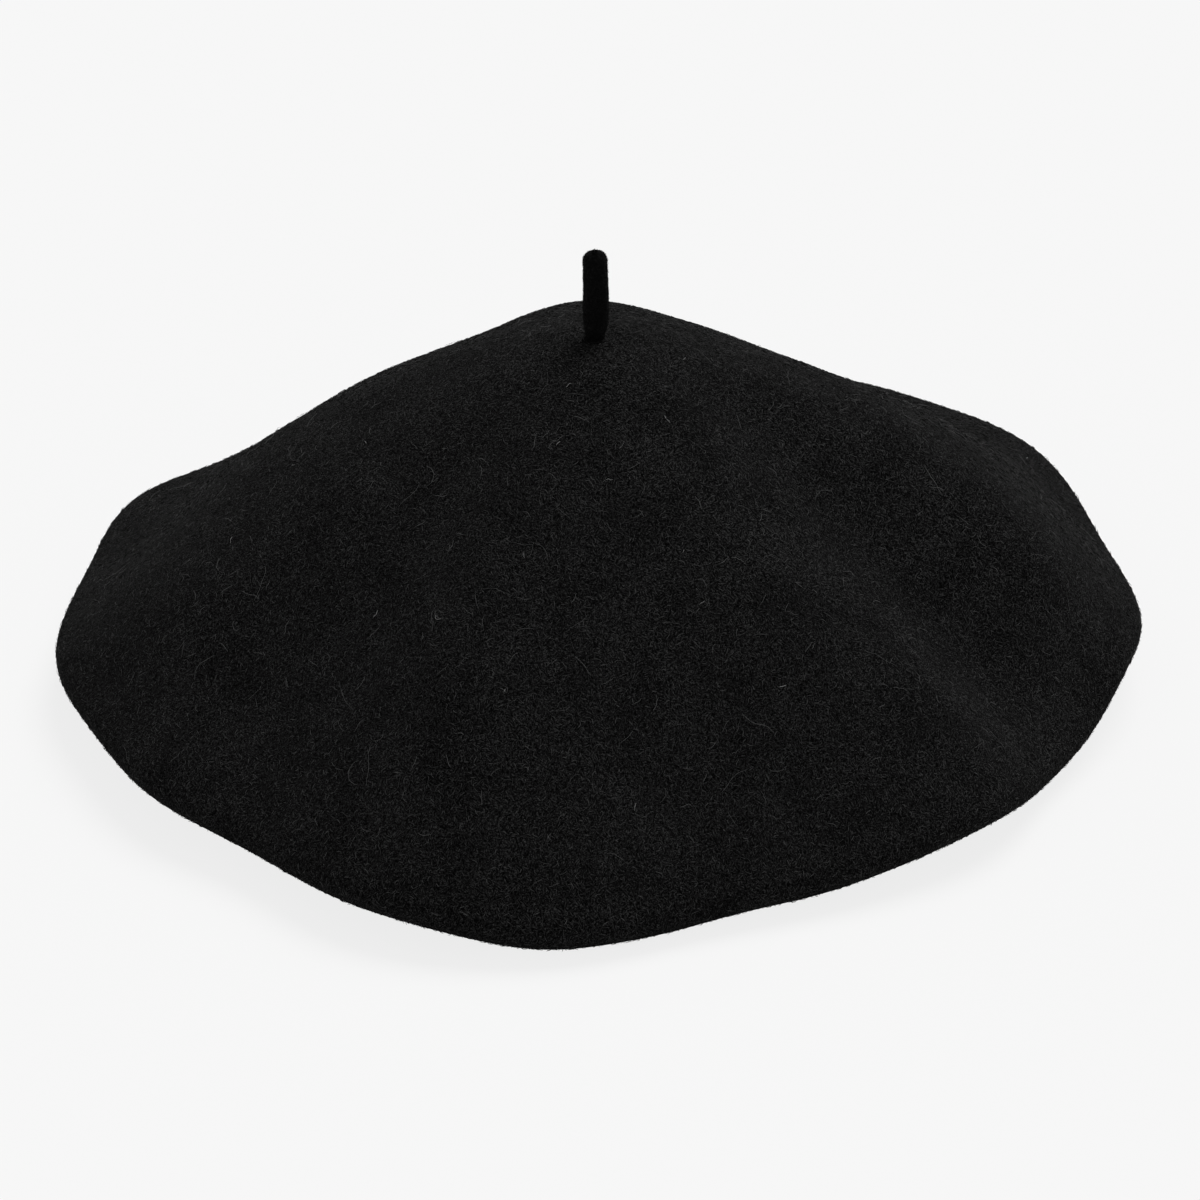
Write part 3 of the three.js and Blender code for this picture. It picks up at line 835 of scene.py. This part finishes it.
def hang(points, faces, pinned):
    """Let a cloth fall from its pinned points; returns how far each point moved, in millimetres."""
    mesh = bpy.data.meshes.new("hanging")
    mesh.from_pydata((points * MM).tolist(), [], faces.tolist())
    thing = put("hanging", mesh)
    thing.vertex_groups.new(name="pins").add([int(i) for i in pinned], 1.0, "REPLACE")
    cloth = thing.modifiers.new("cloth", "CLOTH")
    settings = {"quality": 8, "mass": 0.12, "air_damping": 3.0, "tension_stiffness": 12,
                "compression_stiffness": 12, "shear_stiffness": 4, "bending_stiffness": 0.02,
                "vertex_group_mass": "pins", "shrink_min": -HANG_SLACK}
    for name, value in settings.items():
        setattr(cloth.settings, name, value)
    cloth.collision_settings.use_collision = False
    cloth.collision_settings.use_self_collision = False
    cloth.point_cache.frame_start = 1
    cloth.point_cache.frame_end = HANG_FRAMES
    for frame in range(1, HANG_FRAMES + 1):
        bpy.context.scene.frame_set(frame)
    hung = thing.evaluated_get(bpy.context.evaluated_depsgraph_get())
    where = np.empty(len(points) * 3, dtype=np.float32)
    hung.data.vertices.foreach_get("co", where)
    moved = where.reshape(-1, 3).astype(float) / MM - points
    bpy.data.objects.remove(thing)
    bpy.data.meshes.remove(mesh)
    bpy.context.scene.frame_set(1)
    return moved


def lining_layer(shares, azimuth, gather, raised):
    """Radius and height of a layer of lining that follows the crown: shares x azimuths.

    gather(share, azimuth) is how far the cloth stands below its mean surface.
    """
    share, azimuth = shares[:, None], azimuth[None, :]
    depth = LINING_DEPTH + LINING_CLOTH / 2 + raised + gather(share, azimuth)
    return under_crown(share, azimuth, depth)


def tip_sag(shares, azimuth, gather):
    """How the tip hangs: sewn down round its seam and under the label, loose between them."""
    coarse = azimuth[::2]
    radius, height = lining_layer(shares, coarse, gather, 0)
    points = on_circle(radius, coarse, height)
    held = (shares < LABEL_HOLD) | (shares == shares[-1])
    pinned = np.flatnonzero(np.repeat(held, len(coarse)))
    faces = grid_faces(len(shares), len(coarse), close_columns=True)
    moved = hang(points.reshape(-1, 3), faces, pinned)
    size = np.linalg.norm(moved, axis=1, keepdims=True)
    moved = moved * np.minimum(1, HANG_LIMIT / np.maximum(size, 1e-9))
    loose = np.clip((shares - LABEL_HOLD) / HANG_EASE, 0, 1)
    moved = moved.reshape(points.shape) * (loose**2 * (3 - 2 * loose))[:, None, None]
    between = (moved + np.roll(moved, -1, axis=1)) / 2
    return np.stack([moved, between], axis=2).reshape(len(shares), len(azimuth), 3)


def crown_cloth(name, node, shares, azimuth, gather, material, tail=None, sag=0.0):
    """A piece of lining under the crown, with the tail that it runs on to and its sag."""
    half = LINING_CLOTH / 2 - 0.1
    layers = []
    for side in (-1, 1):
        layer = np.stack(lining_layer(shares, azimuth, gather, side * half))
        if tail is not None:
            places, lies = tail[:, :2].T[..., None], tail[:, 2:].T[..., None]
            pleat = np.stack([0.35 * gather(1.0, azimuth), 0 * azimuth])[:, None]
            layer = np.concatenate([layer, places + lies * side * half - pleat], axis=1)
        layers.append(layer)
    radius, height = np.concatenate([layers[0], layers[1][:, ::-1]], axis=1)
    vertices = on_circle(radius, azimuth, height)
    if np.ndim(sag):
        vertices = vertices + np.concatenate([sag, sag[::-1]])
    made = make_object(name, vertices, ring_faces(*radius.shape), material)
    span, turn = arc_length(radius, height), np.radians(azimuth)
    add_uv(made, span * np.cos(turn), span * np.sin(turn))
    belongs(made, node)
    return made


def pleats(azimuth, count, seed):
    """Uneven folds round a seam, from -1 to 1."""
    a = np.radians(azimuth)
    shift = np.random.default_rng(seed).uniform(0, 2 * np.pi, 4)
    wander = 0.9 * np.sin(3 * a + shift[0]) + 0.6 * np.sin(7 * a + shift[1])
    wide = np.sin(count * a + wander)
    fine = np.sin(2.0 * count * a + 1.7 * wander + shift[2])
    size = 0.75 + 0.25 * np.sin(5 * a + shift[3])
    return size * (0.7 * wide + 0.3 * fine)


def seam_ease(share, side):
    """Gathers are flat where they are sewn: from 0.25 at the seam to 1 a few millimetres from it."""
    away = np.clip((share - SEAM) * side / 0.05, 0, 1)
    return 0.25 + 0.75 * away * away * (3 - 2 * away)


def tip_gather(share, azimuth):
    near_seam = np.clip((share - 0.2) / 0.36, 0, 1) ** 2 * seam_ease(share, -1)
    return 0.8 * near_seam * (1 + pleats(azimuth, 36, 5)) - 0.1 + 0.25 * np.sin(np.pi * share / SEAM)


def side_gather(share, azimuth):
    return 0.55 * (1 + pleats(azimuth, 44, 8)) * seam_ease(share, 1) - 0.1


def lining_pieces(satin):
    """The round tip, the side that turns in over the band, and the piping between them."""
    azimuth = np.arange(LINING_AROUND) * 360 / LINING_AROUND
    shares = np.concatenate([[0.004], np.linspace(0.03, SEAM - SEAM_GAP, 26)])
    sag = tip_sag(shares, azimuth, tip_gather)
    tip = crown_cloth("lining_tip_satin", "lining_tip", shares, azimuth, tip_gather, satin, sag=sag)
    shares = np.linspace(SEAM + SEAM_GAP, SIDE_END, 9)
    side = crown_cloth("lining_side_satin", "lining_side", shares, azimuth, side_gather, satin, TURN_IN)

    azimuth = np.arange(360.0)
    depth = LINING_DEPTH + LINING_CLOTH + 0.3 + PIPING_RADIUS
    radius, height = under_crown(np.full_like(azimuth, SEAM), azimuth, depth)
    rope = PIPING_RADIUS + 0.04 * np.sin(np.arange(360) * 2 * np.pi / 3)[:, None]
    turn = whole_turn(12)
    points = on_circle(radius[:, None] + rope * np.cos(turn), azimuth[:, None],
                       height[:, None] + rope * np.sin(turn))
    piping = make_object("lining_piping_cord", points, ring_faces(360, 12), satin)
    add_uv(piping, np.radians(azimuth)[:, None] * radius.mean(), PIPING_RADIUS * turn)
    belongs(piping, "lining_piping")
    return tip, side, piping


# ---- Labels ----

def patch(name, width, length, thickness, material, bend):
    """A thin cloth rectangle with round corners and a soft turned edge, put in its place by bend."""
    columns, rows = 56, 40
    u = np.linspace(-1, 1, columns)[:, None]
    v = np.linspace(-1, 1, rows)[None, :]
    x = width / 2 * u * (1 - 0.03 * v**4 * np.abs(u) ** 3)
    y = length / 2 * v * (1 - 0.03 * u**4 * np.abs(v) ** 3)
    edge = np.minimum(width / 2 - np.abs(x), length / 2 - np.abs(y))
    hem = 0.12 * np.exp(-(((edge - 0.9) / 0.35) ** 2))
    half = thickness / 2 * (0.35 + 0.65 * np.clip(edge / 0.25, 0, 1) ** 0.5)
    flat = np.concatenate([np.stack([x, y, half - hem * 0.6], -1).reshape(-1, 3),
                           np.stack([x, y, -half], -1).reshape(-1, 3)])
    below = columns * rows
    upper, lower = grid_faces(columns, rows), grid_faces(columns, rows)[:, ::-1] + below
    across, along = np.arange(columns - 1), np.arange(rows - 1)
    rim = np.concatenate([
        across * rows, (columns - 1) * rows + along,
        (columns - 1 - across) * rows + rows - 1, rows - 1 - along,
    ])
    following = np.roll(rim, -1)
    walls = np.stack([rim + below, following + below, following, rim], -1)
    made = make_object(name, bend(flat), [np.concatenate([upper, lower, walls])], material)
    add_uv(made, flat[:, 0], flat[:, 1])
    return made


def hem_stitches(name, line, lifts, material):
    """Small stitches along a line of points; lifts is how each point stands off the cloth."""
    length, gap, thick = 1.6, 0.7, 0.13
    distance = run_length(line)
    count = int(distance[-1] // (length + gap))
    t = np.linspace(0, 1, 5)
    at = np.arange(count)[:, None] * (length + gap) + gap / 2 + length * t

    def read(values):
        return np.stack([np.interp(at, distance, column) for column in values.T], -1)

    arch = 1 - (2 * t - 1) ** 2
    paths = read(line) + read(lifts) * (0.16 * arch - 0.05)[:, None]
    radii = np.broadcast_to(thick * (0.8 + 0.2 * arch), (count, len(t)))
    made = fibre_mesh(name, paths, radii, material)
    x, y, _ = np.array([vertex.co for vertex in made.data.vertices]).T / MM
    add_uv(made, x, y)
    belongs(made)
    return made


def label_pieces(cloth, thread):
    """A blank woven patch under the middle of the lining, sewn down all round."""
    depth = LINING_DEPTH + LINING_CLOTH + LABEL_DROP

    def bend(points):
        angle = np.degrees(np.arctan2(points[:, 1], points[:, 0]))
        share = np.hypot(points[:, 0], points[:, 1]) / CROWN_REACH
        radius, height = under_crown(share, angle, depth - points[:, 2])
        return on_circle(radius, angle, height)

    label = patch("lining_label_woven", *LABEL_SIZE, 0.5, cloth, bend)
    belongs(label, "lining_label")
    w, l = np.array(LABEL_SIZE) / 2 - 1.2
    side = np.linspace(-1, 1, 60)
    edge = np.ones_like(side)
    x = np.concatenate([w * side, w * edge, -w * side, -w * edge])
    y = np.concatenate([-l * edge, l * side, l * edge, -l * side])
    flat = np.column_stack([x, y, np.full_like(x, -0.22)])
    line = bend(flat)
    lifts = bend(flat - [0, 0, 1]) - line
    return label, hem_stitches("lining_label_stitches", line, lifts, thread)


def care_pieces(cloth, thread):
    """A blank tab of the woven label cloth: the hem is sewn to the band and the tab hangs from the fold
    under it.
    """
    def stand(name, node, body, thickness, sway):
        low, high = node_box(node)
        centre, size = (low + high) / 2, high - low

        def bend(points):
            y, z, x = points.T
            down = (size[2] / 2 - z) / size[2]
            x = x + sway * 0.10 * np.sin(y * 0.5) * down + sway * 0.12 * np.sin(np.pi * down)
            return centre + np.column_stack([x, y, z])

        piece = patch(name, size[1], size[2], thickness, cloth, bend)
        belongs(piece, node, body)
        return piece, low, high

    hem, low, high = stand("care_label_hem_satin", "care_label_hem", "hat", 0.4, 0)
    tab, tab_low, tab_high = stand("care_label_tab", "care_label", "care_tab", 0.34, 1)
    y = np.linspace(tab_low[1] + 0.1, tab_high[1] - 0.1, 40)
    line = on_line((tab_low[0] + tab_high[0]) / 2, y, (low[2] + tab_high[2]) / 2)
    fold = tube_along("care_label_fold", line, 0.22, 14, cloth)
    belongs(fold)
    y = np.linspace(low[1] + 0.6, high[1] - 0.6, 60)
    line = on_line(high[0] - 0.03, y, (low[2] + high[2]) / 2)
    lifts = np.tile([1.0, 0, 0], (len(y), 1))
    return hem, tab, fold, hem_stitches("care_hem_stitches", line, lifts, thread)


# ---- Bow ----

def ribbon(name, node, line, widths, material, across=(0, 0, 1)):
    """A ribbon that follows a line square to across, which its width lies along."""
    thickness = 0.42
    across = np.array(across, float)
    along = np.gradient(line, axis=0)
    along /= np.linalg.norm(along, axis=1, keepdims=True)
    normal = np.cross(along, across)
    normal /= np.linalg.norm(normal, axis=1, keepdims=True)
    v = np.linspace(-1, 1, 9)
    cup = 0.12 * (1 - v**2)
    half = thickness / 2 * np.sqrt(np.clip(1 - 0.55 * v**8, 0.2, 1))
    widths = np.broadcast_to(widths, len(line))
    flat = line[:, None] + across * (v[:, None] * widths[:, None, None] / 2)
    front = flat + normal[:, None] * (cup + half - 0.12)[:, None]
    behind = flat + normal[:, None] * (cup - half - 0.12)[:, None]
    ring = np.concatenate([front, behind[:, ::-1]], axis=1)
    made = make_object(name, ring, tube_faces(len(line), 2 * len(v)), material)
    add_uv(made, run_length(line)[:, None], np.concatenate([v, v[::-1]]) * widths.mean() / 2)
    belongs(made, node)


def bow_loops(material):
    """A figure of eight: its two strands pass a ribbon's thickness apart, under the knot."""
    low, high = node_box("bow_loops")
    centre = (low + high) / 2
    reach, depth = (high[0] - low[0]) / 2, (high[1] - low[1]) / 2
    turn = whole_turn(220)
    x = (reach - 0.25) * np.sin(turn)
    y = (depth - 0.25) * np.sin(2 * turn) * (1 + 0.06 * np.sin(turn))
    waist = np.exp(-((x / 2.6) ** 2))
    width = (high[2] - low[2]) * (1 - 0.38 * waist)
    line = centre + np.column_stack([x, y * 0.97, 0 * x])
    line[:, 1] += np.where(np.cos(turn) > 0, 0.28, -0.28) * waist
    closed = [*range(len(turn)), 0]
    ribbon("bow_loops_ribbon", "bow_loops", line[closed], width[closed], material)


def bow_knot(material):
    """A band of ribbon wrapped flat round the waist of the loops."""
    low, high = node_box("bow_knot")
    _, y, z = (high - low) / 2 - 0.25
    turn = np.linspace(0.02, 2 * np.pi - 0.02, 72)

    def squared(wave):
        return np.sign(wave) * np.abs(wave) ** 0.55

    around = np.column_stack([0 * turn, y * squared(np.cos(turn)), z * squared(np.sin(turn))])
    width = high[0] - low[0]
    ribbon("bow_knot_ribbon", "bow_knot", (low + high) / 2 + around, width, material, across=(1, 0, 0))


def bow_tails(material):
    """Two tails that slant down from the knot and widen to a notched end."""
    low, high = node_box("bow_tails")
    steps, columns = 40, 17
    s = np.linspace(0, 1, steps)[:, None]
    v = np.linspace(-1, 1, columns)
    width = v * (1.0 + 1.0 * s**0.7)
    notch = 1.1 * (1 - np.abs(v)) * np.clip((s - 0.75) / 0.25, 0, 1)
    rings = []
    for sign in (1, -1):
        start, run = np.array([sign * 0.9, 11.0]), np.array([sign * 5.7, -6.5])
        length = np.linalg.norm(run)
        direction = run / length
        side = np.array([-direction[1], direction[0]])
        x, z = np.moveaxis(start + run * s[..., None] + side * width[..., None]
                           - direction * notch[..., None], -1, 0)
        wave = 0.10 * np.sin(s * 9 + sign) + 0.04 * np.sin(v * 3)
        y = (low[1] + high[1]) / 2 - 0.06 + wave * 0.6
        front, behind = np.stack([x, y - 0.13, z], -1), np.stack([x, y + 0.13, z], -1)
        rings.append(np.concatenate([front, behind[:, ::-1]], axis=1))
    faces = [repeated(part, 2, steps * 2 * columns) for part in tube_faces(steps, 2 * columns)]
    made = make_object("bow_tails_ribbon", rings, faces, material)
    add_uv(made, np.broadcast_to(s * length, (2, steps, 2 * columns)), np.concatenate([v, v[::-1]]) * 2)
    belongs(made, "bow_tails")


# ---- Studio ----

def look_at(thing, target):
    direction = Vector(target) - thing.location
    thing.rotation_euler = direction.to_track_quat("-Z", "Y").to_euler()


def camera():
    """A long lens, 30 degrees above the table, aimed a little above the middle of the hat."""
    elevation = math.radians(30)
    distance = 1.5
    sensor = 36.0
    width_at_hat = 264.48 * MM
    above, aside = 8.816 * MM, 0.4408 * MM
    subject = Vector((0.0005, -0.008, 0.014))
    data = bpy.data.cameras.new("camera")
    data.sensor_width = sensor
    data.lens = sensor * distance / width_at_hat
    made = put("camera", data)
    made.location = subject + distance * Vector((0, -math.cos(elevation), math.sin(elevation)))
    aim = subject + above * Vector((0, math.sin(elevation), math.cos(elevation)))
    aim.x += aside
    look_at(made, aim)
    bpy.context.scene.camera = made


def floor_material():
    """Evenly pale to the camera, with only a faint shadow on it, and pale paper to all other light."""
    nodes = Nodes("pale_floor")
    nodes.tree.nodes.remove(nodes.shader)
    glow = nodes.add("ShaderNodeEmission", {"Color": tone(1.0), "Strength": 0.82})
    shaded = nodes.add("ShaderNodeBsdfDiffuse", {"Color": tone(0.115)})
    seen = nodes.add("ShaderNodeAddShader", {0: glow.outputs[0], 1: shaded.outputs[0]})
    paper = nodes.add("ShaderNodeBsdfDiffuse", {"Color": tone(0.85)})
    rays = nodes.add("ShaderNodeLightPath")
    links = {0: rays.outputs["Is Camera Ray"], 1: paper.outputs[0], 2: seen.outputs[0]}
    switch = nodes.add("ShaderNodeMixShader", links)
    nodes.set(nodes.tree.nodes["Material Output"], "Surface", switch.outputs[0])
    return nodes.material


def studio():
    """The floor, a dim even sky that the camera sees as pale, and one large soft light."""
    data = bpy.data.meshes.new("floor")
    half = 12.0
    corners = [(-half, -half, 0), (half, -half, 0), (half, half, 0), (-half, half, 0)]
    data.from_pydata(corners, [], [(0, 1, 2, 3)])
    data.materials.append(floor_material())
    floor = put("floor", data)
    floor.location.z = -0.0002

    world = bpy.data.worlds.new("studio")
    world.use_nodes = True
    bpy.context.scene.world = world
    tree = world.node_tree
    background = tree.nodes["Background"]
    background.inputs["Color"].default_value = tone(1.0)
    rays = tree.nodes.new("ShaderNodeLightPath")
    strength = tree.nodes.new("ShaderNodeMapRange")
    strength.inputs["To Min"].default_value = 0.35
    strength.inputs["To Max"].default_value = 0.922
    tree.links.new(rays.outputs["Is Camera Ray"], strength.inputs["Value"])
    tree.links.new(strength.outputs[0], background.inputs["Strength"])

    light = bpy.data.lights.new("top_softbox", "SUN")
    light.energy = 2.3
    light.angle = math.radians(36)
    softbox = put("top_softbox", light)
    softbox.location = (0.36, 0.62, 1.0)
    look_at(softbox, (0, 0, 0))
    bpy.context.scene.view_settings.view_transform = "Standard"


# ---- Assembly ----

camera()
studio()

felt = felt_material("black_wool_felt", 0.0003, 0.052, 0.010)
# The stem's felt is a darker, flatter copy of the crown's felt: partly its own denser felt, partly
# painted shade for its steep sides.
stem_felt = felt_material("black_wool_stem", 0.003, 0.015, 0.03)
wools = [
    fibre_material(f"black_wool_ends_{shade}", value)
    for shade, value in (("dark", 0.002), ("mid", 0.008), ("grey", 0.024), ("light", 0.050),
                         ("pale", 0.080))
]
leather = leather_material("band_leather_black")
twill = ribbed_material("twill_tape_black", 0.020, (0.8, 0.6), 0.5, 0.7)
grosgrain = ribbed_material("bow_grosgrain_black", 0.018, (1.0, 0.0), 0.45, 0.5)
satin = satin_material("lining_satin_black", 0.012)
thread = thread_material("sewing_thread_black", 0.03)
label_thread = thread_material("label_thread_grey", 0.25)
label_cloth = label_material("label_woven_cream", 0.50, 0.35)
stray_wool = fibre_material("stray_wool_grey", 0.13, 0.2)
stray_pale = fibre_material("stray_wool_pale", 0.42, 0.3)

skin = felt_shell(felt)
for number, wool in enumerate(wools):
    nap(f"felt_nap_{number + 1}", skin[NAP_ROWS], NAP_PER_TONE, wool, 11 + number)
stray_hairs("stray_hairs_short", 620, (1.4, 4.0), stray_wool, 31, 0.25, (0.026, 0.042))
stray_hairs("stray_hairs_long", 120, (3.5, 9.0), stray_wool, 32, 0.16, (0.026, 0.040))
stray_hairs("stray_hairs_pale", 26, (0.8, 2.4), stray_pale, 33, 0.3, (0.03, 0.045))
stem_nap(stem_piece(stem_felt), wools[1], 41)
root_knot(stem_felt)
sweatband_piece(leather)
tape_piece(twill)
band_stitches(thread)
tip, side, piping = lining_pieces(satin)
label, label_stitches = label_pieces(label_cloth, label_thread)
bow_loops(grosgrain)
bow_knot(grosgrain)
bow_tails(grosgrain)
hem, tab, fold, hem_thread = care_pieces(label_cloth, label_thread)
